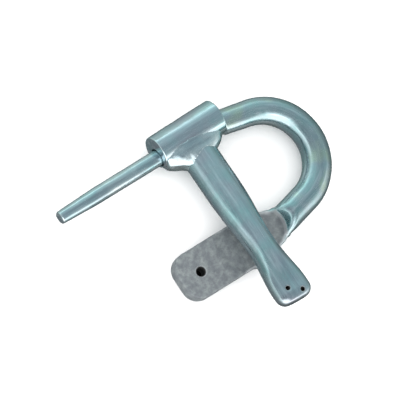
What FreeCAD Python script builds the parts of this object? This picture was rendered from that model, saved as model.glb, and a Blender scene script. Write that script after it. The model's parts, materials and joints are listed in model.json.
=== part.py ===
"""Trailer coupler lock: a forged ring bar with a lock pin, and a T-handle that turns and slides on the pin.

Millimetres.  The origin is on the lock pin's axis, where the handle's sleeve ends and the pin's working
length begins.  +X runs along the pin to its tip, +Y runs from the pin to the flat tang, and +Z stands
square to the plane of the ring, away from the ground that the lock lies on.
"""
import FreeCAD, Part
import math
import os

Vector = FreeCAD.Vector

# ---- driving dimensions ----
BAR_D = 18.2
GROUND_Z = -BAR_D / 2       # what the ring, the tang and the sleeve lie on

# T-handle: sleeve, tube and weld
SLEEVE_LENGTH = 46.4
SLEEVE_FREE_D = 21.0        # outside, at the pin's side
SLEEVE_OUTER_D = 22.6       # outside, at the ring's side
SLEEVE_BORE_D = 18.4
SLEEVE_MOUTH_D = 11.8       # the bore closes down round the pin at the free end
SLEEVE_MOUTH_WALL = 3.0
SLEEVE_END_X = -0.8         # the free end, just short of the pin's working length
SLEEVE_OFF_Y = -3.0         # the loose sleeve lies off the pin's axis, away from the tang
SLEEVE_CHAMFER = 0.6
HANDLE_LEAN = 8.9           # degrees up from the ring's plane, which rests the tube over the tang
HANDLE_SKEW = 2.6           # degrees off square to the sleeve, towards the pin's tip
HANDLE_LENGTH = 124.2       # foot of the tube's axis to its closed end
HANDLE_FOOT_X = -25.0       # where the tube's axis would meet the sleeve's middle plane
HANDLE_FOOT_Z = -0.1
TUBE_WIDTH = 23.6           # flattened, so that it's wider than it's high
TUBE_HEIGHT = 18.0
TUBE_WALL = 2.0
NECK_AT = 86.0              # distance from the foot
NECK_FROM = 42.0            # where the tube starts to narrow
NECK_WIDTH = 18.4
PADDLE_WIDTH = 24.5
PADDLE_THICKNESS = 12.0
PADDLE_END_R = 6.5          # rounding of the closed end, seen from above
PADDLE_EDGE_SHARE = 0.6     # the same rounding seen from the side, as a share
WIRE_HOLE_D = 2.6
WIRE_HOLES = ((3.5, 8.8), (-4.5, 4.0))      # (across from the tube's middle, back from the closed end)
WELD_PIN_LEG = 10.0         # the fillet's reach along the sleeve, on the pin's side
WELD_RING_LEG = 7.0         # and on the ring's side
WELD_DROP = 12.0            # its reach down the tube
WELD_HOLLOW = 1.6           # 1 is a straight-faced fillet, more is hollower
WELD_CROWN = 0.5            # how far the bead stands off the tube's skin

# lock pin
PIN_D = 10.3
PIN_ROOT_D = 10.7           # inside the sleeve
PIN_STRAIGHT = 45.0         # working length at full diameter
PIN_TIP_X = 75.0
PIN_TIP_D = 8.2
SPIGOT_D = 7.0
SPIGOT_LENGTH = 9.0
SPIGOT_CLEARANCE = 0.05     # radial, in the bar's blind bore
SHOULDER_GAP = 0.1          # between the pin's root and the bar's end face

# ring bar
BAR_END_X = -47.4           # the shoulder that the sleeve stops against
BAR_END_D = 15.6
RING_RADIUS = 31.8          # to the bar's centreline
RING_X = -60.9
RING_Y = 36.7
LEG_SLOPE = 11.0            # degrees, straight leg from the ring to the sleeve
THROAT_SLOPE = 13.5         # degrees, straight run from the ring to the tang
THROAT_BEND_R = 33.0        # the small reverse bend that lines the bar up with the tang

# tang
TANG_Y = 72.5
TANG_WIDTH = 30.4
TANG_THICKNESS = 9.0
TANG_END_X = 30.3
TANG_CORNER_R = 10.5
TANG_FULL_X = -27.0         # where the flat reaches its full width
TANG_EDGE_R = 1.0
TANG_HOLE_D = 5.8
TANG_HOLE_X = 15.7
DIE_SLOPE = 0.8             # the forging die's flare for each millimetre of height
DIE_TOES = ((-34.5, 71.5, 10.7), (-22.0, 71.5, 19.0))     # (x, y, radius) at the flat: its rounded toe, then its body

# ---- worked out ----
SLEEVE_Z = GROUND_Z + SLEEVE_OUTER_D / 2
SLEEVE_R = SLEEVE_OUTER_D / 2
LEAN = math.radians(HANDLE_LEAN)
HANDLE_FOOT = Vector(HANDLE_FOOT_X, SLEEVE_OFF_Y, HANDLE_FOOT_Z)
SKEW = math.radians(HANDLE_SKEW)
HANDLE_ACROSS = Vector(math.cos(SKEW), -math.sin(SKEW), 0)
HANDLE_ALONG = Vector(math.sin(SKEW) * math.cos(LEAN), math.cos(SKEW) * math.cos(LEAN), math.sin(LEAN))
HANDLE_UP = HANDLE_ACROSS.cross(HANDLE_ALONG)
SECTION_POINTS = 24


def oval(centre, across, up, half_width, half_height, power=2.0):
    """Closed smooth section: a circle or ellipse at power 2, squarer as the power grows."""
    points = []
    for k in range(SECTION_POINTS):
        turn = 2 * math.pi * k / SECTION_POINTS
        c = math.cos(turn)
        s = math.sin(turn)
        u = half_width * math.copysign(abs(c) ** (2 / power), c)
        v = half_height * math.copysign(abs(s) ** (2 / power), s)
        points.append(centre + across * u + up * v)
    curve = Part.BSplineCurve()
    curve.interpolate(points, PeriodicFlag=True)
    return Part.Wire([curve.toShape()])


def ring_path():
    """The bar's centreline in the XY plane: the leg and the first half of the ring, then the rest."""
    leg = math.radians(LEG_SLOPE)
    throat = math.radians(THROAT_SLOPE)
    centre = Vector(RING_X, RING_Y, 0)
    leg_meets = centre + Vector(-math.sin(leg), -math.cos(leg), 0) * RING_RADIUS
    leg_start = leg_meets + Vector(math.cos(leg), -math.sin(leg), 0) * (BAR_END_X + 2 - leg_meets.x)
    near_quarter = centre + Vector(-math.cos(math.pi / 4), -math.sin(math.pi / 4), 0) * RING_RADIUS
    far_side = centre + Vector(-RING_RADIUS, 0, 0)
    far_quarter = centre + Vector(-math.cos(math.pi / 4), math.sin(math.pi / 4), 0) * RING_RADIUS
    throat_meets = centre + Vector(-math.sin(throat), math.cos(throat), 0) * RING_RADIUS
    bend_rise = THROAT_BEND_R * (1 - math.cos(throat))
    straight = (TANG_Y - throat_meets.y - bend_rise) / math.sin(throat)
    bend_start = throat_meets + Vector(math.cos(throat), math.sin(throat), 0) * straight
    bend_end = Vector(bend_start.x + THROAT_BEND_R * math.sin(throat), TANG_Y, 0)
    bend_mid = Vector(bend_end.x - THROAT_BEND_R * math.sin(throat / 2),
                      TANG_Y - THROAT_BEND_R * (1 - math.cos(throat / 2)), 0)
    near_half = [
        Part.makeLine(leg_start, leg_meets),
        Part.Arc(leg_meets, near_quarter, far_side).toShape(),
    ]
    far_half = [
        Part.Arc(far_side, far_quarter, throat_meets).toShape(),
        Part.makeLine(throat_meets, bend_start),
        Part.Arc(bend_start, bend_mid, bend_end).toShape(),
    ]
    return near_half, far_half, bend_end


def make_bar_and_neck():
    """Round bar from the shoulder round the ring, then widening into a forged flat."""
    near_half, far_half, bend_end = ring_path()
    up = Vector(0, 0, 1)
    start = near_half[0].valueAt(near_half[0].FirstParameter)
    start_along = near_half[0].tangentAt(near_half[0].FirstParameter)
    far_side = far_half[0].valueAt(far_half[0].FirstParameter)
    thin = Part.Wire([Part.makeCircle(BAR_END_D / 2, start, start_along)])
    full = Part.Wire([Part.makeCircle(BAR_D / 2, far_side, Vector(0, 1, 0))])
    growing = Part.Wire(near_half).makePipeShell([thin, full], True, False)
    steady = Part.Wire(far_half).makePipeShell([full], True, False)
    run = TANG_FULL_X - bend_end.x
    sections = [Part.Wire([Part.makeCircle(BAR_D / 2, bend_end, Vector(1, 0, 0))])]
    for share in (0.25, 0.5, 0.75, 1.0):
        wide = BAR_D / 2 + (TANG_WIDTH - BAR_D) / 2 * share * share * (3 - 2 * share)
        centre = bend_end + Vector(run * share, 0, 0)
        sections.append(oval(centre, Vector(0, -1, 0), up, wide, BAR_D / 2, 2.0 + 5.0 * share * share))
    widening = Part.makeLoft(sections, True, True)
    return growing.fuse(steady).fuse(widening)


def make_plate():
    """Flat of the tang, with two rounded corners at its free end."""
    half = TANG_WIDTH / 2
    slab = Part.makeBox(TANG_END_X - TANG_FULL_X, TANG_WIDTH, TANG_THICKNESS,
                        Vector(TANG_FULL_X, TANG_Y - half, GROUND_Z))
    corners = [edge for edge in slab.Edges
               if abs(edge.tangentAt(0).z) > 0.9 and edge.CenterOfMass.x > TANG_END_X - 1]
    slab = slab.makeFillet(TANG_CORNER_R, corners)
    rim = [edge for edge in slab.Edges
           if abs(edge.tangentAt(edge.FirstParameter).z) < 0.1 and edge.CenterOfMass.x > TANG_FULL_X + 1]
    return slab.makeFillet(TANG_EDGE_R, rim)


def make_u_bar():
    """Ring bar with its tang: one forged piece, bored blind for the pin's spigot."""
    body = make_bar_and_neck().fuse(make_plate())
    top_of_tang = GROUND_Z + TANG_THICKNESS
    for x, y, radius in DIE_TOES:
        die = Part.makeCone(radius, radius + DIE_SLOPE * BAR_D, BAR_D, Vector(x, y, top_of_tang))
        body = body.cut(die)
    face_off = Part.makeBox(BAR_D, 2 * BAR_D, 2 * BAR_D, Vector(BAR_END_X, -BAR_D, -BAR_D))
    body = body.cut(face_off)
    bore = Part.makeCylinder(SPIGOT_D / 2 + SPIGOT_CLEARANCE, SPIGOT_LENGTH + 1.5,
                             Vector(BAR_END_X - SPIGOT_LENGTH - 0.5, 0, 0), Vector(1, 0, 0))
    hole = Part.makeCylinder(TANG_HOLE_D / 2, 3 * TANG_THICKNESS,
                             Vector(TANG_HOLE_X, TANG_Y, GROUND_Z - TANG_THICKNESS))
    return body.cut(bore).cut(hole)


def make_lock_pin():
    """Turned pin: spigot, thicker root inside the sleeve, straight working length, tapered blunt tip."""
    root = BAR_END_X + SHOULDER_GAP
    profile = [
        (BAR_END_X - SPIGOT_LENGTH, 0),
        (BAR_END_X - SPIGOT_LENGTH, SPIGOT_D / 2),
        (root, SPIGOT_D / 2),
        (root, PIN_ROOT_D / 2),
        (-4.0, PIN_ROOT_D / 2),
        (0.0, PIN_D / 2),
        (PIN_STRAIGHT, PIN_D / 2),
        (PIN_STRAIGHT + 10, PIN_D / 2 - 0.25),
        (PIN_TIP_X - 0.8, PIN_TIP_D / 2 + 0.1),
        (PIN_TIP_X, PIN_TIP_D / 2 - 0.7),
        (PIN_TIP_X, 0),
    ]
    outline = Part.makePolygon([Vector(x, r, 0) for x, r in profile + profile[:1]])
    return Part.Face(outline).revolve(Vector(0, 0, 0), Vector(1, 0, 0), 360)


def sleeve_space(extra=0.0):
    """The sleeve's outside as a solid cone, longer at both ends by the same extra."""
    start = Vector(SLEEVE_END_X - SLEEVE_LENGTH - extra, SLEEVE_OFF_Y, SLEEVE_Z)
    growth = (SLEEVE_OUTER_D - SLEEVE_FREE_D) / SLEEVE_LENGTH * extra / 2
    return Part.makeCone(SLEEVE_R + growth, SLEEVE_FREE_D / 2 - growth, SLEEVE_LENGTH + 2 * extra,
                         start, Vector(1, 0, 0))


def make_sleeve():
    """Short tube that turns and slides on the pin, with a smaller mouth that lines up with the pin."""
    start = Vector(SLEEVE_END_X - SLEEVE_LENGTH, SLEEVE_OFF_Y, SLEEVE_Z)
    outside = sleeve_space()
    ends = [edge for edge in outside.Edges if edge.Curve.TypeId == "Part::GeomCircle"]
    outside = outside.makeChamfer(SLEEVE_CHAMFER, ends)
    bore = Part.makeCylinder(SLEEVE_BORE_D / 2, SLEEVE_LENGTH - SLEEVE_MOUTH_WALL, start, Vector(1, 0, 0))
    mouth = Part.makeCylinder(SLEEVE_MOUTH_D / 2, SLEEVE_LENGTH,
                              Vector(SLEEVE_END_X - SLEEVE_LENGTH / 2, 0, 0), Vector(1, 0, 0))
    return outside.cut(bore).cut(mouth)


def handle_section(reach, width, height, power=2.0, shift=0.0):
    """Section of the handle tube, square to its length, at a distance from its foot."""
    centre = HANDLE_FOOT + HANDLE_ALONG * reach + HANDLE_ACROSS * shift
    return oval(centre, HANDLE_ACROSS, HANDLE_UP, width / 2, height / 2, power)


def tube_size(reach):
    """Width, height and squareness of the handle tube at a distance from its foot."""
    paddle_at = HANDLE_LENGTH - 9.0
    narrowing = max(0.0, min(1.0, (reach - NECK_FROM) / (NECK_AT - NECK_FROM)))
    pressed = max(0.0, min(1.0, (reach - NECK_AT) / (paddle_at - NECK_AT)))
    narrowing = narrowing * narrowing * (3 - 2 * narrowing)
    pressed = pressed * pressed * (3 - 2 * pressed)
    width = TUBE_WIDTH + (NECK_WIDTH - TUBE_WIDTH) * narrowing + (PADDLE_WIDTH - NECK_WIDTH) * pressed
    height = TUBE_HEIGHT + (NECK_WIDTH - TUBE_HEIGHT) * narrowing + (PADDLE_THICKNESS - NECK_WIDTH) * pressed
    left = HANDLE_LENGTH - reach
    if left < PADDLE_END_R:
        lost = PADDLE_END_R - math.sqrt(PADDLE_END_R ** 2 - (PADDLE_END_R - left) ** 2)
        width -= 2 * lost
        height -= 2 * lost * PADDLE_EDGE_SHARE
    return width, height, 2.0 + 0.8 * pressed


def make_tube_outside():
    """Outside of the handle tube: oval, necked, then pressed into a closed paddle end."""
    reaches = [2.0, NECK_FROM]
    reaches += [NECK_FROM + (NECK_AT - NECK_FROM) * k / 10 for k in range(1, 11)]
    reaches += [NECK_AT + (HANDLE_LENGTH - PADDLE_END_R - NECK_AT) * k / 10 for k in range(1, 11)]
    reaches += [HANDLE_LENGTH - PADDLE_END_R * (1 - math.sin(math.pi / 2 * k / 6)) for k in range(1, 7)]
    return Part.makeLoft([handle_section(reach, *tube_size(reach)) for reach in reaches], True, True)


def make_handle_tube():
    """Handle tube, coped to the sleeve, hollow down to the pressed end, with two small holes."""
    walls = 2 * TUBE_WALL
    cavity = Part.makeLoft([
        handle_section(-3.0, TUBE_WIDTH - walls, TUBE_HEIGHT - walls),
        handle_section(50.0, TUBE_WIDTH - walls - 0.8, TUBE_HEIGHT - walls),
        handle_section(70.0, TUBE_WIDTH - walls - 3.4, TUBE_HEIGHT - walls),
        handle_section(NECK_AT, NECK_WIDTH - walls, NECK_WIDTH - walls - 0.6),
        handle_section(NECK_AT + 12.0, NECK_WIDTH - walls, 4.0),
    ], True, True)
    tube = make_tube_outside().cut(cavity).cut(sleeve_space())
    for across, back in WIRE_HOLES:
        middle = HANDLE_FOOT + HANDLE_ALONG * (HANDLE_LENGTH - back) + HANDLE_ACROSS * across
        drill = Part.makeCylinder(WIRE_HOLE_D / 2, 3 * PADDLE_THICKNESS,
                                  middle - HANDLE_UP * (1.5 * PADDLE_THICKNESS), HANDLE_UP)
        tube = tube.cut(drill)
    return max(tube.Solids, key=lambda solid: solid.Volume)


def make_handle_weld():
    """Fillet weld all round the T joint, swept out furthest along the sleeve on the pin's side."""
    shapes = [(3.0, 1.0)]
    steps = 8
    for k in range(steps + 1):
        left = 1 - k / steps
        shapes.append((SLEEVE_R + WELD_DROP * (1 - left), left ** WELD_HOLLOW))
    sections = []
    for reach, share in shapes:
        pin_side = WELD_PIN_LEG * share
        ring_side = WELD_RING_LEG * share
        width = TUBE_WIDTH + 2 * WELD_CROWN + pin_side + ring_side
        height = TUBE_HEIGHT + 2 * WELD_CROWN + share
        sections.append(handle_section(reach, width, height, 2.0, (pin_side - ring_side) / 2))
    collar = Part.makeLoft(sections, True, True)
    bead = collar.cut(sleeve_space(10.0)).cut(make_tube_outside())
    over_ground = Part.makeBox(200, 200, 200, Vector(-100, -100, GROUND_Z + 0.05))
    bead = bead.common(over_ground)
    return max(bead.Solids, key=lambda solid: solid.Volume)


PIECES = {
    "u_bar": make_u_bar,
    "lock_pin": make_lock_pin,
    "handle_sleeve": make_sleeve,
    "handle_tube": make_handle_tube,
    "handle_weld": make_handle_weld,
}

os.makedirs("parts", exist_ok=True)
for name, make in PIECES.items():
    shape = make()
    if not shape.isValid() or len(shape.Solids) != 1:
        raise ValueError(name + " is not one valid solid")
    shape.exportStep("parts/" + name + ".step")
    box = shape.optimalBoundingBox(False)
    print(name, "volume %.0f" % shape.Volume,
          "x %.1f..%.1f y %.1f..%.1f z %.1f..%.1f" % (box.XMin, box.XMax, box.YMin, box.YMax, box.ZMin, box.ZMax))
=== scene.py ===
import json
import math

import bpy
import numpy as np
from mathutils import Matrix, Vector


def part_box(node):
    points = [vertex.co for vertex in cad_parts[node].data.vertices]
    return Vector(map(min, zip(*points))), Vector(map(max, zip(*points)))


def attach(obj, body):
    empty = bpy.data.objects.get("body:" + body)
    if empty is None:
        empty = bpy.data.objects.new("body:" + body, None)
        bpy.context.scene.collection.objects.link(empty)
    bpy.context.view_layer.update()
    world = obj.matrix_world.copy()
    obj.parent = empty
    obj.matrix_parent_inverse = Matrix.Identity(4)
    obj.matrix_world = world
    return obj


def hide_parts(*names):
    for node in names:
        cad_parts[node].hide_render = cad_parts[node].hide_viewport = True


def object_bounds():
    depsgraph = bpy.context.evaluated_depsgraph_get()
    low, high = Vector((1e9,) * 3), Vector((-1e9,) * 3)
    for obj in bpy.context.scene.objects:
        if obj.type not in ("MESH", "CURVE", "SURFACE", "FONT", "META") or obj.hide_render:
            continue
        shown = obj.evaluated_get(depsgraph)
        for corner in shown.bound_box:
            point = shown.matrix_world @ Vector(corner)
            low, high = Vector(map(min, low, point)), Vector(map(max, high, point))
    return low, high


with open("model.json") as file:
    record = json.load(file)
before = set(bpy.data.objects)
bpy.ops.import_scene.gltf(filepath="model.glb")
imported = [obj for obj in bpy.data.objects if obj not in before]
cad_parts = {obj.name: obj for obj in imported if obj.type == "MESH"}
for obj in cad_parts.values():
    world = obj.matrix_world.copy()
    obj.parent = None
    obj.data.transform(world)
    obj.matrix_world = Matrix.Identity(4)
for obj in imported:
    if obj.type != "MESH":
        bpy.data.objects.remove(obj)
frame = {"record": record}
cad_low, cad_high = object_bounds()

MM = 0.001
record = frame["record"]
mounts = {mount["name"]: mount for mount in record["mounts"]}

# ---- sizes, read from the frame where it has them ----
bar_low, bar_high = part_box("u_bar")
sleeve_low, sleeve_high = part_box("handle_sleeve")
pin_low, pin_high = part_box("lock_pin")
GROUND_Z = cad_low.z
BAR_R = -bar_low.z
BAR_END_R = 7.8 * MM                 # where the bar meets the sleeve
RING_R = 31.8 * MM                   # to the bar's centreline
RING_X = bar_low.x + BAR_R + RING_R
RING_Y = 36.7 * MM
LEG_SLOPE = math.radians(11.0)
THROAT_SLOPE = math.radians(13.5)
THROAT_BEND_R = 33.0 * MM
SHOULDER_X = sleeve_low.x - 0.2 * MM
SPIGOT_R = 3.4 * MM
SPIGOT_BORE_R = 3.55 * MM
TANG_THICKNESS = mounts["tang_hole"]["dims"]["length_mm"] * MM
TANG_Y = mounts["tang_back"]["pos_m"][1]
TANG_WIDTH = 2 * (bar_high.y - TANG_Y)
TANG_TOP_Z = GROUND_Z + TANG_THICKNESS
TANG_CORNER_R = 10.5 * MM
TANG_EDGE_R = 1.2 * MM
TANG_FULL_X = -27.0 * MM
TANG_HOLE = Vector(mounts["tang_hole"]["pos_m"])
TANG_HOLE_R = mounts["tang_hole"]["dims"]["r_mm"] * MM
DIE_SLOPE = 0.8
DIE_TOES = ((-34.5, 71.5, 10.7), (-22.0, 71.5, 19.0))      # mm: (x, y, radius) at the flat

SLEEVE_MID = (sleeve_low + sleeve_high) / 2
SLEEVE_R = (sleeve_high.z - sleeve_low.z) / 2
SLEEVE_FREE_R = SLEEVE_R - 0.8 * MM      # at the pin's side
SLEEVE_SEGMENTS = 112
SLEEVE_BORE_R = 9.2 * MM
SLEEVE_MOUTH_R = 5.9 * MM
SLEEVE_MOUTH_WALL = 3.0 * MM
HANDLE_UP = Vector(mounts["handle_hole_middle"]["axis"]).normalized()
HANDLE_FOOT = Vector((-25.0, -3.0, -0.1)) * MM
HANDLE_SKEW = math.radians(2.6)
HANDLE_ACROSS = Vector((math.cos(HANDLE_SKEW), -math.sin(HANDLE_SKEW), 0))
HANDLE_ALONG = HANDLE_UP.cross(HANDLE_ACROSS)
HANDLE_LENGTH = 124.2 * MM
WIRE_HOLE_R = mounts["handle_hole_middle"]["dims"]["r_mm"] * MM
WIRE_HOLES = [Vector(mounts[name]["pos_m"]) for name in ("handle_hole_middle", "handle_hole_side")]
TUBE_HALF_WIDTH = 11.8 * MM
TUBE_HALF_HEIGHT = 9.0 * MM
NECK_FROM = 42.0 * MM
NECK_AT = 86.0 * MM
NECK_R = 9.2 * MM
PADDLE_HALF_WIDTH = 12.25 * MM
PADDLE_HALF_THICK = 6.0 * MM
PADDLE_END_R = 6.5 * MM
WELD_PIN_LEG = 10.0 * MM
WELD_RING_LEG = 7.0 * MM
WELD_DIMPLE = Vector((-14.0, 16.0, 0.0)) * MM
WELD_DIMPLE_R = 1.1 * MM

PIN_R = mounts["lock_pin"]["dims"]["r_mm"] * MM
PIN_STRAIGHT = mounts["lock_pin"]["dims"]["length_mm"] * MM
PIN_ROOT_R = 5.35 * MM
PIN_TIP_R = 4.15 * MM
PIN_SEGMENTS = 80

# every piece's points carry these numbers from 0 to 1, which its material reads: edge for a painted highlight
# on edges, dip for painted shade in hollows, matte for the dull forged flat, dark for painted shade in holes
# and bores
MARKS = ("edge", "dip", "matte", "dark")

# ---- camera: nearly overhead, leaning towards the pin's tip ----
CAMERA_AZIMUTH = math.radians(7.4)
CAMERA_ELEVATION = math.radians(66.4)
CAMERA_ROLL = math.radians(147.0)
CAMERA_DISTANCE = 8.0
IMAGE_SIDE = 400
PIXELS_PER_M = 1647.5
VIEW_MIDDLE = Vector((-20.0, 40.0, 0.0)) * MM
MIDDLE_OFFSET = (17.9 / PIXELS_PER_M, 1.9 / PIXELS_PER_M)     # right of and above the picture's centre


def make_camera():
    data = bpy.data.cameras.new("camera")
    camera = bpy.data.objects.new("camera", data)
    bpy.context.scene.collection.objects.link(camera)
    back = Vector((math.cos(CAMERA_ELEVATION) * math.cos(CAMERA_AZIMUTH),
                   math.cos(CAMERA_ELEVATION) * math.sin(CAMERA_AZIMUTH),
                   math.sin(CAMERA_ELEVATION)))
    level = Vector((0, 1, 0)).cross(back).normalized()
    steep = back.cross(level)
    right = level * math.cos(CAMERA_ROLL) + steep * math.sin(CAMERA_ROLL)
    up = steep * math.cos(CAMERA_ROLL) - level * math.sin(CAMERA_ROLL)
    aim = VIEW_MIDDLE - right * MIDDLE_OFFSET[0] - up * MIDDLE_OFFSET[1]
    place = Matrix((right, up, back)).transposed().to_4x4()
    place.translation = aim + back * CAMERA_DISTANCE
    camera.matrix_world = place
    data.sensor_width = 36.0
    data.lens = data.sensor_width * PIXELS_PER_M * CAMERA_DISTANCE / IMAGE_SIDE
    data.clip_start = 0.01
    data.clip_end = 50.0
    bpy.context.scene.camera = camera


# ---- shapes from distance fields ----
def smooth_min(a, b, reach):
    mix = np.clip(0.5 + 0.5 * (b - a) / reach, 0, 1)
    return b + (a - b) * mix - reach * mix * (1 - mix)


def smooth_max(a, b, reach):
    return -smooth_min(-a, -b, reach)


def ramp(value, start, end):
    share = np.clip((value - start) / (end - start), 0, 1)
    return share * share * (3 - 2 * share)


def ripple(points, size, seed):
    """Smooth repeatable unevenness between about -1 and 1, with lumps of roughly the given size."""
    rng = np.random.default_rng(seed)
    total = np.zeros(len(points))
    for _ in range(9):
        direction = rng.normal(size=3)
        direction /= np.linalg.norm(direction)
        pitch = size * rng.uniform(0.7, 1.6)
        total += np.sin(points @ direction * (2 * math.pi / pitch) + rng.uniform(0, 2 * math.pi))
    return total / 4.0


def net(field, low, high, step, relax=2):
    """Closed quad mesh of the surface where the field is zero, its vertices drawn onto that surface."""
    low = np.array(low) - 2.5 * step
    counts = np.ceil((np.array(high) + 2.5 * step - low) / step).astype(int) + 1
    ticks = [low[k] + step * np.arange(counts[k]) for k in range(3)]
    values = np.empty(counts, np.float64)
    plane_y, plane_z = np.meshgrid(ticks[1], ticks[2], indexing="ij")
    for i, x in enumerate(ticks[0]):
        points = np.stack([np.full(plane_y.size, x), plane_y.ravel(), plane_z.ravel()], 1)
        values[i] = field(points).reshape(plane_y.shape)
    for side in range(3):
        for end in (0, -1):
            face = [slice(None)] * 3
            face[side] = end
            values[tuple(face)] = np.maximum(values[tuple(face)], step)
    inside = values < 0
    corner_sum = np.zeros(counts - 1, int)
    for dx in (0, 1):
        for dy in (0, 1):
            for dz in (0, 1):
                corner_sum += inside[dx:counts[0] - 1 + dx, dy:counts[1] - 1 + dy, dz:counts[2] - 1 + dz]
    mixed = (corner_sum > 0) & (corner_sum < 8)
    number = np.full(mixed.shape, -1)
    cells = np.argwhere(mixed)
    number[mixed] = np.arange(len(cells))
    total = np.zeros((len(cells), 3))
    crossings = np.zeros(len(cells))
    quads = []
    for axis in range(3):
        other = [k for k in range(3) if k != axis]
        for du in (0, 1):
            for dv in (0, 1):
                start = cells.copy()
                start[:, other[0]] += du
                start[:, other[1]] += dv
                end = start.copy()
                end[:, axis] += 1
                fa = values[tuple(start.T)]
                fb = values[tuple(end.T)]
                cross = (fa < 0) != (fb < 0)
                share = np.where(cross, fa / np.where(cross, fa - fb, 1), 0)
                at = start.astype(float)
                at[:, axis] += share
                total[cross] += at[cross]
                crossings += cross
        here = [slice(None)] * 3
        there = [slice(None)] * 3
        here[axis] = slice(0, -1)
        there[axis] = slice(1, None)
        edges = np.argwhere(inside[tuple(here)] != inside[tuple(there)])
        goes_out = inside[tuple(edges.T)]
        ring = []
        for du, dv in ((0, 0), (1, 0), (1, 1), (0, 1)):
            cell = edges.copy()
            cell[:, other[0]] -= du
            cell[:, other[1]] -= dv
            ring.append(number[tuple(cell.T)])
        ring = np.stack(ring, 1)
        if axis == 1:
            goes_out = ~goes_out
        ring[~goes_out] = ring[~goes_out][:, ::-1]
        quads.append(ring)
    quads = np.concatenate(quads)
    vertices = low + total / crossings[:, None] * step
    links = np.concatenate([quads[:, [k, (k + 1) % 4]] for k in range(4)])
    for _ in range(relax):
        near = np.zeros_like(vertices)
        count = np.zeros(len(vertices))
        for a, b in ((0, 1), (1, 0)):
            for k in range(3):
                near[:, k] += np.bincount(links[:, a], vertices[links[:, b], k], len(vertices))
            count += np.bincount(links[:, a], minlength=len(vertices))
        vertices = vertices * 0.4 + near / count[:, None] * 0.6
        vertices = settle(field, vertices, step)
    return settle(field, vertices, step), quads


def settle(field, vertices, step):
    """Moves points down the field's slope onto its zero surface."""
    probe = step * 0.05
    for _ in range(2):
        value = field(vertices)
        slope = np.empty_like(vertices)
        for k in range(3):
            shift = np.zeros(3)
            shift[k] = probe
            slope[:, k] = (field(vertices + shift) - field(vertices - shift)) / (2 * probe)
        size = np.maximum((slope ** 2).sum(1), 0.05)
        move = -(value / size)[:, None] * slope
        length = np.linalg.norm(move, axis=1, keepdims=True)
        vertices = vertices + move * np.minimum(1, step * 0.6 / np.maximum(length, 1e-12))
    return vertices


def slopes(field, vertices, probe=0.05 * MM):
    """Unit outward normals of a field at points on its surface."""
    slope = np.empty_like(vertices)
    for k in range(3):
        shift = np.zeros(3)
        shift[k] = probe
        slope[:, k] = field(vertices + shift) - field(vertices - shift)
    return slope / np.maximum(np.linalg.norm(slope, axis=1, keepdims=True), 1e-12)


def edge_and_dip(field, vertices, depth):
    """How far each point sits on a convex edge, and how far in a hollow, from 0 to 1."""
    normals = slopes(field, vertices)
    edge = np.clip((field(vertices - normals * depth) + depth) / depth, 0, 1)
    dip = np.clip((depth - field(vertices + normals * depth)) / depth, 0, 1)
    return edge, dip


def mesh_object(name, vertices, faces, marks, grain):
    """Smooth-shaded object whose points carry every mark, 0 where none is given, and the grain's place."""
    corner = vertices[np.array([face[:3] for face in faces])]
    twice_area = np.cross(corner[:, 1] - corner[:, 0], corner[:, 2] - corner[:, 0])
    if (twice_area * corner[:, 0]).sum() < 0:
        faces = [tuple(reversed(face)) for face in faces]
    mesh = bpy.data.meshes.new(name)
    mesh.from_pydata([tuple(v) for v in vertices], [], [tuple(int(i) for i in f) for f in faces])
    mesh.validate()
    mesh.update()
    mesh.polygons.foreach_set("use_smooth", [True] * len(mesh.polygons))
    for mark in MARKS:
        values = marks.get(mark, np.zeros(len(vertices)))
        layer = mesh.attributes.new(mark, "FLOAT", "POINT")
        layer.data.foreach_set("value", np.asarray(values, np.float32))
    layer = mesh.attributes.new("grain", "FLOAT_VECTOR", "POINT")
    layer.data.foreach_set("vector", np.asarray(grain, np.float32).ravel())
    piece = bpy.data.objects.new(name, mesh)
    bpy.context.scene.collection.objects.link(piece)
    return piece


# ---- ring bar: straight runs and arcs in the XY plane, sleeve to tang ----
def make_route():
    centre = np.array([RING_X, RING_Y])
    leg_meets = centre + RING_R * np.array([-math.sin(LEG_SLOPE), -math.cos(LEG_SLOPE)])
    leg_run = SHOULDER_X + 3 * MM - leg_meets[0]
    leg_start = leg_meets + leg_run * np.array([1, -math.tan(LEG_SLOPE)])
    throat_meets = centre + RING_R * np.array([-math.sin(THROAT_SLOPE), math.cos(THROAT_SLOPE)])
    rise = THROAT_BEND_R * (1 - math.cos(THROAT_SLOPE))
    run = (TANG_Y - throat_meets[1] - rise) / math.sin(THROAT_SLOPE)
    bend_start = throat_meets + run * np.array([math.cos(THROAT_SLOPE), math.sin(THROAT_SLOPE)])
    bend_end = np.array([bend_start[0] + THROAT_BEND_R * math.sin(THROAT_SLOPE), TANG_Y])
    bend_centre = np.array([bend_end[0], TANG_Y - THROAT_BEND_R])
    return [
        ("line", leg_start, leg_meets),
        ("arc", centre, RING_R, -math.pi / 2 - LEG_SLOPE, -1.5 * math.pi + THROAT_SLOPE),
        ("line", throat_meets, bend_start),
        ("arc", bend_centre, THROAT_BEND_R, math.pi / 2 + THROAT_SLOPE, math.pi / 2),
        ("line", bend_end, np.array([bar_high.x, TANG_Y])),
    ]


ROUTE = make_route()
NEAR_HALF = RING_R * (math.pi / 2 - LEG_SLOPE) + abs(SHOULDER_X - RING_X)


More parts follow.
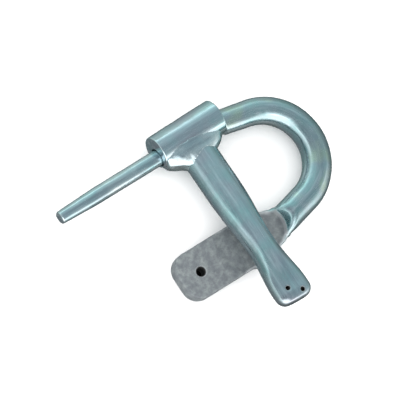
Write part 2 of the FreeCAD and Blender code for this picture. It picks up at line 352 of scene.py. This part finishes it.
def from_route(points):
    """Distance from the bar's centreline in the XY plane, length along it, and side, of each point."""
    flat = points[:, :2]
    best = np.full(len(points), np.inf)
    along = np.zeros(len(points))
    side = np.zeros(len(points))
    done = 0.0
    for piece in ROUTE:
        if piece[0] == "line":
            start, end = piece[1:]
            length = np.linalg.norm(end - start)
            direction = (end - start) / length
            where = np.clip((flat - start) @ direction, 0, length)
            offset = flat - (start + where[:, None] * direction)
            across = offset[:, 1] * direction[0] - offset[:, 0] * direction[1]
        else:
            centre, radius, first, last = piece[1:]
            span = abs(last - first)
            length = radius * span
            sense = math.copysign(1, last - first)
            rel = flat - centre
            turn = (sense * (np.arctan2(rel[:, 1], rel[:, 0]) - first)) % (2 * math.pi)
            turn = np.where(turn > math.pi + span / 2, 0, np.minimum(turn, span))
            outward = np.stack([np.cos(first + sense * turn), np.sin(first + sense * turn)], 1)
            offset = rel - radius * outward
            where = turn * radius
            across = -sense * (offset * outward).sum(1)
        distance = np.linalg.norm(offset, axis=1)
        nearer = distance < best
        best = np.where(nearer, distance, best)
        along = np.where(nearer, done + where, along)
        side = np.where(nearer, across, side)
        done += length
    return best, along, side


def rounded_both(a, b, radius):
    """Inside both fields, with a rounded edge between them."""
    over = np.hypot(np.maximum(a + radius, 0), np.maximum(b + radius, 0)) - radius
    return np.where((a + radius > 0) | (b + radius > 0), over, np.maximum(a, b))


def from_dies(points):
    """Distance outside the forging die's two flaring cones, which leave the flat."""
    x, y, z = points.T
    rise = np.maximum(z - TANG_TOP_Z, 0)
    out = [np.hypot(x - at_x * MM, y - at_y * MM) - radius * MM - DIE_SLOPE * rise
           for at_x, at_y, radius in DIE_TOES]
    return smooth_min(out[0], out[1], 3 * MM) / math.hypot(1, DIE_SLOPE)


def bar_field(points):
    """Forged ring bar with its flat tang, curved shoulder and holes."""
    away, along, _ = from_route(points)
    x, y, z = points.T
    radius = BAR_END_R + (BAR_R - BAR_END_R) * np.clip(along / NEAR_HALF, 0, 1)
    bar = np.hypot(away, z) - radius - ripple(points, 26 * MM, 3) * 0.09 * MM
    bar = smooth_max(bar, x - (TANG_FULL_X + 2 * MM), 6 * MM)

    half = BAR_R + (TANG_WIDTH / 2 - BAR_R) * ramp(x, TANG_FULL_X - 18 * MM, TANG_FULL_X + 1 * MM)
    in_x = x - (bar_high.x - TANG_CORNER_R)
    in_y = np.abs(y - TANG_Y) - (half - TANG_CORNER_R)
    outline = np.hypot(np.maximum(in_x, 0), np.maximum(in_y, 0)) - TANG_CORNER_R
    outline = np.where((in_x > 0) | (in_y > 0), outline, np.maximum(in_x, in_y) - TANG_CORNER_R)
    outline = np.maximum(outline + ripple(points, 14 * MM, 9) * 0.06 * MM, TANG_FULL_X - 19 * MM - x)
    hammered = ripple(points, 8 * MM, 5) * 0.04 * MM + ripple(points, 22 * MM, 8) * 0.07 * MM
    thick = np.abs(z - (GROUND_Z + TANG_TOP_Z) / 2) - TANG_THICKNESS / 2 - hammered
    body = smooth_min(bar, rounded_both(outline, thick, TANG_EDGE_R), 4 * MM)

    neck_half = half + 0.3 * MM
    neck_r = np.minimum(BAR_R, neck_half) * (1 - 0.55 * ramp(x, TANG_FULL_X - 18 * MM, TANG_FULL_X))
    neck = rounded_both(np.abs(y - TANG_Y) - neck_half, np.abs(z) - BAR_R, neck_r)
    neck = np.maximum(neck, np.maximum(TANG_FULL_X - 14 * MM - x, x - TANG_FULL_X - 6 * MM))
    body = smooth_min(body, neck, 5 * MM)

    above = TANG_TOP_Z + hammered - z
    body = smooth_max(body, -rounded_both(from_dies(points), above, 1.5 * MM), 3.2 * MM)
    body = smooth_max(body, GROUND_Z + 0.02 * MM - z, 0.3 * MM)
    body = smooth_max(body, x - SHOULDER_X - np.where(y > RING_Y, 1, 0), 0.6 * MM)
    body = smooth_max(body, x - bar_high.x, 0.4 * MM)
    bore = np.maximum(np.hypot(y, z) - SPIGOT_BORE_R, pin_low.x - 0.5 * MM - x)
    body = np.maximum(body, -bore)
    hole = TANG_HOLE_R - np.hypot(x - TANG_HOLE.x, y - TANG_HOLE.y)
    return smooth_max(body, hole, 0.8 * MM)


def make_u_bar():
    vertices, faces = net(bar_field, bar_low, bar_high, 0.6 * MM)
    _, along, side = from_route(vertices)
    x, y, z = vertices.T
    # edge is a painted highlight on convex edges, dip painted shade in hollows, kept faint on the bar
    edge, dip = edge_and_dip(bar_field, vertices, 0.9 * MM)
    dip *= 0.3
    out_of_die = from_dies(vertices)
    # painted highlight: a light band round the die's cones just above the flat, added to the edge highlight
    die_rim_highlight = 0.28 * np.exp(-(out_of_die / (2.2 * MM)) ** 2)
    die_rim_highlight *= ramp(z, TANG_TOP_Z + 0.6 * MM, TANG_TOP_Z + 2 * MM)
    edge = np.maximum(edge, die_rim_highlight * ramp(-x, -TANG_FULL_X + 4 * MM, -TANG_FULL_X + 8 * MM))
    matte = ramp(-out_of_die, -1.6 * MM, 0.0) * ramp(TANG_TOP_Z + 4.0 * MM - z, 0, 1.4 * MM)
    matte = np.maximum(matte * ramp(z, TANG_TOP_Z - 3 * MM, TANG_TOP_Z - 1 * MM),
                       ramp(x, TANG_FULL_X - 8 * MM, TANG_FULL_X + 4 * MM))
    # painted shade: the tang hole's wall nearly black
    in_hole = np.hypot(x - TANG_HOLE.x, y - TANG_HOLE.y) - TANG_HOLE_R
    dark = 1 - ramp(in_hole, 0.05 * MM, 0.7 * MM)
    marks = {"edge": edge, "dip": dip, "matte": matte, "dark": dark}
    grain = np.stack([along * 0.07, side, z], 1)
    return mesh_object("forged_u_bar", vertices, faces.tolist(), marks, grain)


# ---- T-handle ----
def sleeve_skin(points):
    """Distance outside the sleeve's cone, taken as endless."""
    share = (points[:, 0] - sleeve_low.x) / (sleeve_high.x - sleeve_low.x)
    radius = SLEEVE_R + (SLEEVE_FREE_R - SLEEVE_R) * share
    return np.hypot(points[:, 1] - SLEEVE_MID.y, points[:, 2] - SLEEVE_MID.z) - radius


def handle_frame(points):
    rel = points - np.array(HANDLE_FOOT)
    return rel @ np.array(HANDLE_ACROSS), rel @ np.array(HANDLE_ALONG), rel @ np.array(HANDLE_UP)


def tube_skin(points):
    """Distance outside the handle tube, roughly: round, necked, then pressed to a paddle."""
    across, along, up = handle_frame(points)
    narrow = ramp(along, NECK_FROM, NECK_AT)
    pressed = ramp(along, NECK_AT, HANDLE_LENGTH - 9 * MM)
    wide = TUBE_HALF_WIDTH + (NECK_R - TUBE_HALF_WIDTH) * narrow + (PADDLE_HALF_WIDTH - NECK_R) * pressed
    high = TUBE_HALF_HEIGHT + (NECK_R - TUBE_HALF_HEIGHT) * narrow + (PADDLE_HALF_THICK - NECK_R) * pressed
    left = np.clip(PADDLE_END_R - (HANDLE_LENGTH - along), 0, PADDLE_END_R * 0.98)
    lost = PADDLE_END_R - np.sqrt(PADDLE_END_R ** 2 - left ** 2)
    wide = wide - lost
    high = high - lost * 0.6
    power = 2.0 + 0.8 * pressed
    size = (np.abs(across / wide) ** power + np.abs(up / high) ** power) ** (1 / power)
    skin = (size - 1) * np.minimum(wide, high)
    return smooth_max(skin, along - HANDLE_LENGTH, 1.2 * MM) - ripple(points, 20 * MM, 11) * 0.07 * MM


def tube_field(points):
    """Handle tube, coped just into the sleeve's wall, with its two small holes."""
    _, along, _ = handle_frame(points)
    body = np.maximum(tube_skin(points), -(sleeve_skin(points) + 0.7 * MM))
    body = np.maximum(body, -along)
    for hole in WIRE_HOLES:
        rel = points - np.array(hole)
        up = rel @ np.array(HANDLE_UP)
        away = np.linalg.norm(rel - up[:, None] * np.array(HANDLE_UP), axis=1)
        body = smooth_max(body, WIRE_HOLE_R - away, 0.8 * MM)
    return body


def weld_field(points):
    """Weld bead: the blend between sleeve and tube, sunk a little into both."""
    sleeve = sleeve_skin(points)
    tube = tube_skin(points)
    across, along, up = handle_frame(points)
    leg = WELD_RING_LEG + (WELD_PIN_LEG - WELD_RING_LEG) * ramp(across, -5 * MM, 5 * MM)
    leg = leg + ripple(points, 16 * MM, 19) * 0.8 * MM
    out_of_sleeve = points - np.array(SLEEVE_MID)
    out_of_sleeve[:, 0] = 0
    out_of_sleeve /= np.maximum(np.linalg.norm(out_of_sleeve, axis=1, keepdims=True), 1e-9)
    out_of_tube = across[:, None] * np.array(HANDLE_ACROSS) + up[:, None] * np.array(HANDLE_UP)
    out_of_tube /= np.maximum(np.linalg.norm(out_of_tube, axis=1, keepdims=True), 1e-9)
    square = np.clip(1 - (out_of_sleeve * out_of_tube).sum(1), 0.06, 1)
    blend = smooth_min(sleeve, tube, leg * 1.95 * square)
    lumps = ripple(points, 7 * MM, 21) * 0.13 * MM + ripple(points, 14 * MM, 23) * 0.16 * MM
    reach = leg * (0.3 + 0.7 * square)
    toe = ramp(np.maximum(sleeve, tube), 0.5 * reach, 1.25 * reach) * 1.7 * MM
    from_dimple = np.hypot(points[:, 0] - WELD_DIMPLE.x, points[:, 1] - WELD_DIMPLE.y)
    dimple = np.exp(-(from_dimple / WELD_DIMPLE_R) ** 2) * 0.7 * MM * (points[:, 2] > 0)
    bead = blend + lumps - 0.12 * MM + toe + dimple
    body = np.maximum(bead, -(np.minimum(sleeve, tube) + 0.6 * MM))
    body = smooth_max(body, -1.0 * MM - along, 1.0 * MM)
    body = smooth_max(body, sleeve_low.x + 1.0 * MM - points[:, 0], 1.0 * MM)
    body = smooth_max(body, points[:, 0] - sleeve_high.x + 0.6 * MM, 1.0 * MM)
    return np.maximum(body, GROUND_Z + 0.1 * MM - points[:, 2])


def handle_grain(points):
    across, along, up = handle_frame(points)
    return np.stack([along * 0.07, across, up], 1)


def make_tube():
    low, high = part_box("handle_tube")
    vertices, faces = net(tube_field, low - Vector((0, 6, 1)) * MM, high, 0.6 * MM)
    # edge is a painted highlight on convex edges, dip painted shade in hollows
    edge, dip = edge_and_dip(tube_field, vertices, 0.9 * MM)
    # painted shade: darker at the weld's toe on the tube
    toe = np.exp(-(weld_field(vertices) / (0.6 * MM)) ** 2)
    # painted shade: nearly black on the walls of the two small holes
    dark = np.zeros(len(vertices))
    for hole in WIRE_HOLES:
        rel = vertices - np.array(hole)
        up = rel @ np.array(HANDLE_UP)
        away = np.linalg.norm(rel - up[:, None] * np.array(HANDLE_UP), axis=1)
        dark = np.maximum(dark, 1 - ramp(away - WIRE_HOLE_R, 0.05 * MM, 0.6 * MM))
    marks = {"edge": edge, "dip": np.maximum(dip, toe * 0.2), "dark": dark}
    return mesh_object("handle_tube_pressed", vertices, faces.tolist(), marks, handle_grain(vertices))


def make_weld():
    low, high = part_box("handle_weld")
    spare = Vector((3, 3, 1)) * MM
    vertices, faces = net(weld_field, low - spare, high + spare, 0.55 * MM)
    # edge is a weaker painted highlight on the bead's ridges, dip and toe painted shade in its hollows and at
    # its toes
    edge, dip = edge_and_dip(weld_field, vertices, 0.8 * MM)
    toe = np.exp(-(np.minimum(sleeve_skin(vertices), tube_skin(vertices)) / (0.5 * MM)) ** 2)
    marks = {"edge": edge * 0.4, "dip": np.maximum(dip, toe * 0.15)}
    return mesh_object("weld_bead_collar", vertices, faces.tolist(), marks, vertices * np.array((0.2, 1, 1)))


# ---- turned pieces ----
def lathe(profile, segments, centre_y, centre_z, closed):
    """Rings of points about a line along X, one for each (x, radius); closed joins the last to the first."""
    turn = np.linspace(0, 2 * math.pi, segments, endpoint=False)
    vertices = np.concatenate([
        np.stack([np.full(segments, x),
                  centre_y + radius * np.cos(turn),
                  centre_z + radius * np.sin(turn)], 1)
        for x, radius in profile])
    count = len(profile)
    faces = []
    for row in range(count if closed else count - 1):
        below = (row + 1) % count
        for k in range(segments):
            step = (k + 1) % segments
            faces.append((row * segments + k, row * segments + step,
                          below * segments + step, below * segments + k))
    if not closed:
        faces.append(tuple(range(segments - 1, -1, -1)))
        faces.append(tuple((count - 1) * segments + k for k in range(segments)))
    return vertices, faces


def corner(x, radius, size, first, last, steps=5):
    """Rounded corner's (x, radius) points: centre inside the metal, swept between two angles."""
    return [(x + size * math.cos(first + (last - first) * k / steps),
             radius + size * math.sin(first + (last - first) * k / steps)) for k in range(steps + 1)]


def make_sleeve():
    size = 0.75 * MM
    inner = 0.35 * MM
    lip = 0.7 * MM
    quarter = math.pi / 2
    profile = corner(sleeve_low.x + size, SLEEVE_R - size, size, 2 * quarter, quarter)
    run = sleeve_high.x - sleeve_low.x - 2 * size
    for k in range(1, 60):
        share = k / 60
        profile.append((sleeve_low.x + size + run * share, SLEEVE_R + (SLEEVE_FREE_R - SLEEVE_R) * share))
    profile += corner(sleeve_high.x - size, SLEEVE_FREE_R - size, size, quarter, 0)
    outer_rings = len(profile)
    mouth_far = sleeve_high.x - SLEEVE_MOUTH_WALL
    profile += corner(sleeve_high.x - lip, SLEEVE_MOUTH_R + lip, lip, 0, -quarter, 4)
    profile += [(mouth_far + 1 * MM, SLEEVE_MOUTH_R), (mouth_far, SLEEVE_MOUTH_R + 0.1 * MM)]
    mouth_rings = len(profile)
    bore_run = mouth_far - sleeve_low.x - inner
    for k in range(12):
        profile.append((mouth_far - bore_run * k / 12, SLEEVE_BORE_R))
    profile += corner(sleeve_low.x + inner, SLEEVE_BORE_R + inner, inner, -quarter, -2 * quarter, 3)
    vertices, faces = lathe(profile, SLEEVE_SEGMENTS, SLEEVE_MID.y, SLEEVE_MID.z, True)
    rel = vertices - np.array(SLEEVE_MID)
    radius = np.hypot(rel[:, 1], rel[:, 2])
    mouth = slice(outer_rings * SLEEVE_SEGMENTS, mouth_rings * SLEEVE_SEGMENTS)
    vertices[mouth, 1] -= SLEEVE_MID.y       # the mouth lines up with the pin
    vertices[mouth, 2] -= SLEEVE_MID.z
    outside = ramp(radius, SLEEVE_BORE_R + 0.6 * MM, SLEEVE_FREE_R - 0.4 * MM)
    push = (ripple(vertices, 17 * MM, 31) * 0.06 * MM - 0.05 * MM) * outside
    vertices[:, 1] += rel[:, 1] / radius * push
    vertices[:, 2] += rel[:, 2] / radius * push
    # painted highlight: pale rims at both ends of the sleeve
    to_end = np.minimum(vertices[:, 0] - sleeve_low.x, sleeve_high.x - vertices[:, 0])
    edge = 0.5 * (1 - ramp(to_end, 0.3 * MM, 1.2 * MM)) * outside
    # painted shade: darker at the weld's toe on the sleeve
    toe = np.exp(-(weld_field(vertices) / (0.6 * MM)) ** 2)
    # painted shade: the bore's wall nearly black beyond the mouth
    dark = (1 - ramp(radius, SLEEVE_BORE_R + 0.1 * MM, SLEEVE_BORE_R + 0.7 * MM)) * ramp(
        sleeve_high.x - vertices[:, 0], 0.8 * MM, 2.5 * MM)
    marks = {"edge": edge, "dip": toe * 0.15 * outside, "dark": dark}
    grain = vertices * np.array((0.07, 1, 1))
    return mesh_object("handle_sleeve_turned", vertices, faces, marks, grain)


def make_pin():
    quarter = math.pi / 2
    root = SHOULDER_X + 0.1 * MM
    tip_round = 0.9 * MM
    profile = [(pin_low.x, 0.4 * MM), (pin_low.x, SPIGOT_R - 0.4 * MM), (pin_low.x + 0.4 * MM, SPIGOT_R)]
    profile += [(root - 0.01 * MM, SPIGOT_R), (root, PIN_ROOT_R - 0.3 * MM), (root + 0.3 * MM, PIN_ROOT_R)]
    stops = [(root + 0.3 * MM, PIN_ROOT_R), (-4 * MM, PIN_ROOT_R), (0.0, PIN_R), (PIN_STRAIGHT, PIN_R),
             (PIN_STRAIGHT + 10 * MM, PIN_R - 0.25 * MM), (pin_high.x - tip_round, PIN_TIP_R)]
    for (x0, r0), (x1, r1) in zip(stops, stops[1:]):
        pieces = max(1, round((x1 - x0) / (1.5 * MM)))
        profile += [(x0 + (x1 - x0) * k / pieces, r0 + (r1 - r0) * k / pieces) for k in range(1, pieces + 1)]
    profile += corner(pin_high.x - tip_round, PIN_TIP_R - tip_round, tip_round, quarter, 0.25, 6)[1:]
    profile += [(pin_high.x, PIN_TIP_R - 1.9 * MM), (pin_high.x + 0.02 * MM, 0.4 * MM)]
    vertices, faces = lathe(profile, PIN_SEGMENTS, 0.0, 0.0, False)
    radius = np.hypot(vertices[:, 1], vertices[:, 2])
    outside = ramp(radius, 2.5 * MM, 3.5 * MM) * ramp(vertices[:, 0], 0.0, 6 * MM)
    push = ripple(vertices, 13 * MM, 41) * 0.05 * MM * outside
    vertices[:, 1] += vertices[:, 1] / radius * push
    vertices[:, 2] += vertices[:, 2] / radius * push
    vertices[:, 0] -= outside * ramp(vertices[:, 0], pin_high.x - 4 * MM, pin_high.x) * (
        0.25 * MM + ripple(vertices, 4 * MM, 43) * 0.15 * MM)
    # painted highlight: a pale rim round the blunt tip
    near_tip = ramp(vertices[:, 0], pin_high.x - 2.2 * MM, pin_high.x - 0.6 * MM)
    edge = 0.5 * near_tip * ramp(radius, 1 * MM, 3 * MM)
    # painted shade: darker towards the root end, where the pin goes into the sleeve
    dark = 1 - ramp(vertices[:, 0], -16 * MM, -5 * MM)
    marks = {"edge": edge, "dark": dark * 0.6}
    grain = np.stack([vertices[:, 0] * 0.1, vertices[:, 1], vertices[:, 2]], 1)
    return mesh_object("lock_pin_tapered", vertices, faces, marks, grain)


# ---- materials ----
class Graph:
    """Short names for making and wiring shader nodes."""

    def __init__(self, tree):
        self.tree = tree
        tree.nodes.clear()

    def add(self, kind, inputs=None, **settings):
        node = self.tree.nodes.new(kind)
        for key, value in settings.items():
            setattr(node, key, value)
        for key, value in (inputs or {}).items():
            if isinstance(value, bpy.types.NodeSocket):
                self.tree.links.new(value, node.inputs[key])
            else:
                node.inputs[key].default_value = value
        return node

    def maths(self, operation, *values):
        return self.add("ShaderNodeMath", dict(enumerate(values)), operation=operation).outputs[0]

    def between(self, value, low, high, out_low=0.0, out_high=1.0):
        """Smooth step of a value, from out_low below low to out_high above high."""
        node = self.add("ShaderNodeMapRange", {"Value": value, "From Min": low, "From Max": high,
                                               "To Min": out_low, "To Max": out_high},
                        interpolation_type="SMOOTHSTEP")
        return node.outputs["Result"]

    def mix(self, share, a, b, blend="MIX"):
        node = self.add("ShaderNodeMix", {0: share, 6: a, 7: b}, data_type="RGBA", blend_type=blend)
        return node.outputs[2]

    def noise(self, vector, scale, detail=3.0, rough=0.55):
        node = self.add("ShaderNodeTexNoise", {"Vector": vector, "Scale": scale, "Detail": detail,
                                               "Roughness": rough})
        return node.outputs["Fac"]

    def colours(self, value, stops):
        node = self.add("ShaderNodeValToRGB", {"Fac": value})
        ramp_stops = node.color_ramp.elements
        while len(ramp_stops) < len(stops):
            ramp_stops.new(0.5)
        for element, (position, colour) in zip(ramp_stops, stops):
            element.position = position
            element.color = (*colour, 1)
        return node.outputs["Color"]

    def mark(self, name, output="Fac"):
        return self.add("ShaderNodeAttribute", attribute_name=name).outputs[output]


def plated_steel(name, tints, smooth, wave, drawn):
    """Zinc plate over steel, dull on the forged flat, with a painted highlight on its edges and painted shade
    in hollows, holes and bores.

    tints are the plate's colour stops, smooth its roughness, wave the height of its slow unevenness, and
    drawn the depth of the streaks along the grain.
    """
    material = bpy.data.materials.new(name)
    material.use_nodes = True
    g = Graph(material.node_tree)
    place = g.add("ShaderNodeTexCoord").outputs["Object"]
    grain = g.mark("grain", "Vector")
    edge, dip, matte, dark = (g.mark(mark) for mark in ("edge", "dip", "matte", "dark"))

    cloud = g.noise(place, 46.0, 2.0)
    film = g.noise(place, 150.0, 4.0, 0.6)
    specks = g.noise(place, 1500.0, 3.0, 0.7)
    lines = g.noise(grain, 1900.0, 3.0, 0.6)
    streaks = g.noise(grain, 320.0, 3.0, 0.5)
    plate = g.colours(cloud, tints)
    plate = g.mix(g.between(streaks, 0.50, 0.66, 0.0, 0.55), plate, (0.78, 0.88, 0.92, 1))
    plate = g.mix(g.between(streaks, 0.34, 0.50, 0.45, 0.0), plate, (0.36, 0.42, 0.47, 1))
    plate = g.mix(g.between(film, 0.35, 0.75, 0.0, 0.30), plate, (0.50, 0.56, 0.58, 1))
    plate = g.mix(g.between(specks, 0.52, 0.75, 0.0, 0.22), plate, (0.40, 0.43, 0.45, 1))
    plate = g.mix(g.between(lines, 0.50, 0.72, 0.0, 0.22), plate, (0.80, 0.84, 0.85, 1))
    # painted highlight: the plate turns pale along convex edges
    plate = g.mix(g.maths("MULTIPLY", g.between(edge, 0.15, 0.7), 0.6), plate, (0.86, 0.89, 0.90, 1))

    blotch = g.noise(place, 210.0, 5.0, 0.65)
    pits = g.noise(place, 900.0, 3.0, 0.7)
    forged = g.colours(blotch, [(0.30, (0.122, 0.135, 0.147)), (0.46, (0.160, 0.176, 0.188)),
                                (0.58, (0.205, 0.228, 0.232)), (0.72, (0.270, 0.292, 0.290))])
    forged = g.mix(g.between(pits, 0.50, 0.72, 0.0, 0.55), forged, (0.12, 0.12, 0.13, 1))
    # painted highlight: the forged flat turns lighter along its edges
    forged = g.mix(g.maths("MULTIPLY", g.between(edge, 0.1, 0.5), 0.7), forged, (0.50, 0.52, 0.54, 1))

    colour = g.mix(matte, plate, forged)
    # painted shade: darker in hollows and at weld toes
    colour = g.mix(g.maths("MULTIPLY", dip, 0.55), colour, (0.10, 0.11, 0.11, 1))
    # painted shade: nearly black inside holes and bores and towards the pin's root
    colour = g.mix(dark, colour, (0.018, 0.018, 0.018, 1))
    rough = g.maths("ADD", g.between(film, 0.3, 0.75, smooth - 0.05, smooth + 0.08),
                    g.between(lines, 0.4, 0.75, 0.0, 0.07))
    rough = g.maths("ADD", rough, g.between(specks, 0.4, 0.8, -0.02, 0.06))
    rough_flat = g.between(blotch, 0.3, 0.7, 0.48, 0.66)
    rough = g.between(matte, 0.0, 1.0, rough, rough_flat)
    rough = g.maths("ADD", rough, g.maths("MULTIPLY", g.maths("MAXIMUM", dip, dark), 0.3))
    metal = g.between(g.maths("MAXIMUM", matte, dark), 0.0, 1.0, 1.0, 0.30)
    # less metallic on the sharpest edges, which lets them catch the white light as part of the painted edge
    # highlight
    metal = g.maths("MULTIPLY", metal, g.between(edge, 0.75, 1.0, 1.0, 0.6))

    slow = g.add("ShaderNodeBump", {"Height": g.noise(place, 120.0, 2.0), "Strength": wave,
                                    "Distance": 0.0006}).outputs["Normal"]
    grooves = g.add("ShaderNodeBump", {"Height": streaks, "Strength": drawn, "Distance": 0.0004,
                                       "Normal": slow}).outputs["Normal"]
    drawn_bump = g.add("ShaderNodeBump", {"Height": lines, "Strength": drawn, "Distance": 0.00005,
                                          "Normal": grooves}).outputs["Normal"]
    fine = g.add("ShaderNodeBump", {"Height": specks, "Strength": 0.22, "Distance": 0.00004,
                                    "Normal": drawn_bump}).outputs["Normal"]
    scale = g.maths("MULTIPLY", g.maths("ADD", pits, blotch), matte)
    pitted = g.add("ShaderNodeBump", {"Height": scale, "Strength": 0.55, "Distance": 0.00022,
                                      "Normal": fine}).outputs["Normal"]
    shader = g.add("ShaderNodeBsdfPrincipled", {"Base Color": colour, "Metallic": metal,
                                                "Roughness": rough, "Normal": pitted})
    g.add("ShaderNodeOutputMaterial", {"Surface": shader.outputs[0]})
    return material


BLUE_GREY = (0.50, 0.62, 0.66)
TEAL = (0.42, 0.63, 0.64)
PURPLE = (0.54, 0.56, 0.62)
YELLOW_GREEN = (0.58, 0.72, 0.60)
PALE = (0.66, 0.75, 0.76)


def toned(colour, gain):
    return tuple(gain * value for value in colour)


# ---- studio ----
def make_world():
    """White to the camera and to matt surfaces; soft boxes, a dim ceiling and dark sides in reflections."""
    world = bpy.data.worlds.new("studio")
    bpy.context.scene.world = world
    world.use_nodes = True
    world.cycles.sampling_method = "NONE"
    g = Graph(world.node_tree)
    direction = g.add("ShaderNodeTexCoord").outputs["Generated"]
    axes = g.add("ShaderNodeSeparateXYZ", {0: direction}).outputs
    height = g.maths("MULTIPLY_ADD", axes[2], 0.5, 0.5)

    def wall(gain, stops):
        """One side's reflections, by the height they come from."""
        return g.colours(height, [(0.5 + 0.5 * z, toned(colour, gain)) for z, colour in stops])

    def share(axis, sign):
        """How much a direction belongs to one of the four sides, of 1 altogether."""
        reach = g.maths("MAXIMUM", g.maths("MULTIPLY", axes[axis], sign), 0.0)
        return g.maths("DIVIDE", g.maths("MULTIPLY", reach, reach), flat)

    def lobe(aim, inner, outer):
        """1 within inner degrees of a direction, 0 beyond outer."""
        facing = g.add("ShaderNodeVectorMath", {0: direction, 1: Vector(aim).normalized()},
                       operation="DOT_PRODUCT").outputs["Value"]
        return g.between(facing, math.cos(math.radians(outer)), math.cos(math.radians(inner)))

    flat = g.maths("ADD", g.maths("MULTIPLY", axes[0], axes[0]), g.maths("MULTIPLY", axes[1], axes[1]))
    flat = g.maths("MAXIMUM", flat, 0.0001)
    ceiling = (0.245, 0.295, 0.315)
    tang_side = wall(1.08, [
        (-0.75, (0.09, 0.10, 0.10)), (-0.40, (0.22, 0.23, 0.23)), (-0.08, (0.40, 0.42, 0.42)),
        (0.04, (1.20, 1.20, 1.20)), (0.36, (1.20, 1.20, 1.20)), (0.52, (0.48, 0.50, 0.50)),
        (0.72, (0.23, 0.26, 0.28)), (1.0, ceiling)])
    pin_side = wall(1.10, [
        (-0.75, (0.14, 0.17, 0.17)), (-0.45, (0.30, 0.36, 0.36)), (-0.10, (0.34, 0.41, 0.40)),
        (0.20, (0.42, 0.53, 0.50)), (0.36, (0.76, 0.98, 0.97)), (0.50, (0.44, 0.58, 0.60)),
        (0.64, (0.31, 0.43, 0.45)), (0.82, (0.35, 0.44, 0.46)), (1.0, ceiling)])
    tip_side = wall(0.94, [
        (-0.90, (0.15, 0.16, 0.17)), (-0.45, (0.19, 0.23, 0.24)), (-0.10, (0.23, 0.29, 0.30)),
        (0.20, (0.34, 0.41, 0.42)), (0.40, (0.62, 0.74, 0.75)), (0.52, (1.05, 1.20, 1.20)),
        (0.64, (0.50, 0.58, 0.60)), (0.76, (0.20, 0.22, 0.25)), (1.0, ceiling)])
    ring_side = wall(0.94, [
        (-0.80, (0.07, 0.09, 0.09)), (-0.45, (0.10, 0.13, 0.13)), (0.12, (0.20, 0.26, 0.265)),
        (0.45, (0.27, 0.35, 0.365)), (0.63, (0.29, 0.38, 0.395)), (0.85, (0.24, 0.30, 0.33)),
        (1.0, ceiling)])
    total = None
    for side, axis, sign in ((tang_side, 1, 1), (pin_side, 1, -1), (tip_side, 0, 1), (ring_side, 0, -1)):
        part = g.add("ShaderNodeVectorMath", {0: side, "Scale": share(axis, sign)}, operation="SCALE")
        if total is None:
            total = part.outputs[0]
        else:
            total = g.add("ShaderNodeVectorMath", {0: total, 1: part.outputs[0]}, operation="ADD").outputs[0]
    low_box = g.maths("MULTIPLY", lobe((0.97, 0.02, 0.18), 5, 24), 0.45)
    total = g.mix(low_box, total, (0.90, 1.00, 1.00, 1))
    dim_corner = g.maths("MULTIPLY", lobe((0.80, -0.48, 0.10), 12, 45), 0.40)
    total = g.mix(dim_corner, total, (0.10, 0.13, 0.13, 1))
    total = g.mix(lobe((0.42, 0.66, 0.60), 12, 34), total, (1.35, 1.40, 1.42, 1))
    path = g.add("ShaderNodeLightPath").outputs
    reflected = g.add("ShaderNodeBackground", {"Color": total, "Strength": 1.55}).outputs[0]
    white = g.add("ShaderNodeBackground", {
        "Color": (1, 1, 1, 1), "Strength": g.between(axes[2], 0.1, 1.0, 2.9, 1.5)}).outputs[0]
    both = g.add("ShaderNodeMixShader", {0: path["Is Glossy Ray"], 1: white, 2: reflected}).outputs[0]
    g.add("ShaderNodeOutputWorld", {"Surface": both})


def make_floor():
    half = 6.0
    mesh = bpy.data.meshes.new("floor")
    mesh.from_pydata([(-half, -half, GROUND_Z), (half, -half, GROUND_Z), (half, half, GROUND_Z),
                      (-half, half, GROUND_Z)], [], [(0, 1, 2, 3)])
    floor = bpy.data.objects.new("floor", mesh)
    bpy.context.scene.collection.objects.link(floor)
    material = bpy.data.materials.new("floor_paint")
    material.use_nodes = True
    g = Graph(material.node_tree)
    place = g.add("ShaderNodeTexCoord").outputs["Object"]
    under_hole = g.add("ShaderNodeVectorMath", {0: place, 1: (TANG_HOLE.x, TANG_HOLE.y, GROUND_Z)},
                       operation="DISTANCE").outputs["Value"]
    # painted shadow: nearly black right under the tang's hole, which keeps the hole dark, and pale everywhere
    # else
    shade = g.between(under_hole, TANG_HOLE_R * 1.1, TANG_HOLE_R * 1.4, 0.01, 0.92)
    paint = g.add("ShaderNodeBsdfDiffuse", {"Color": shade}).outputs[0]
    g.add("ShaderNodeOutputMaterial", {"Surface": paint})
    mesh.materials.append(material)
    floor.visible_glossy = False


# ---- build ----
make_camera()
make_world()
make_floor()
bpy.context.scene.view_settings.view_transform = "Standard"

bar_tints = [(0.32, PURPLE), (0.44, TEAL), (0.56, BLUE_GREY), (0.68, YELLOW_GREEN)]
forged_bar = plated_steel("forged_bar", [(at, toned(tint, 0.87)) for at, tint in bar_tints], 0.20, 0.30, 0.25)
turned_pin = plated_steel("turned_pin", [(0.34, TEAL), (0.50, BLUE_GREY), (0.66, PALE)], 0.15, 0.20, 0.35)
handle_steel = plated_steel("handle_steel", [(0.34, PURPLE), (0.50, BLUE_GREY), (0.64, TEAL)],
                            0.14, 0.32, 0.30)
weld_bead = plated_steel("weld_bead", [(0.34, BLUE_GREY), (0.50, PALE), (0.66, TEAL)], 0.17, 0.75, 0.10)

for make, node, body, slot, material in (
        (make_u_bar, "u_bar", "ring_bar", "forged_bar", forged_bar),
        (make_pin, "lock_pin", "pin", "turned_pin", turned_pin),
        (make_sleeve, "handle_sleeve", "t_handle", "handle_steel", handle_steel),
        (make_tube, "handle_tube", "t_handle", "handle_steel", handle_steel),
        (make_weld, "handle_weld", "t_handle", "weld_bead", weld_bead)):
    piece = make()
    piece.data.materials.append(material)
    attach(piece, body)
    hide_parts(node)
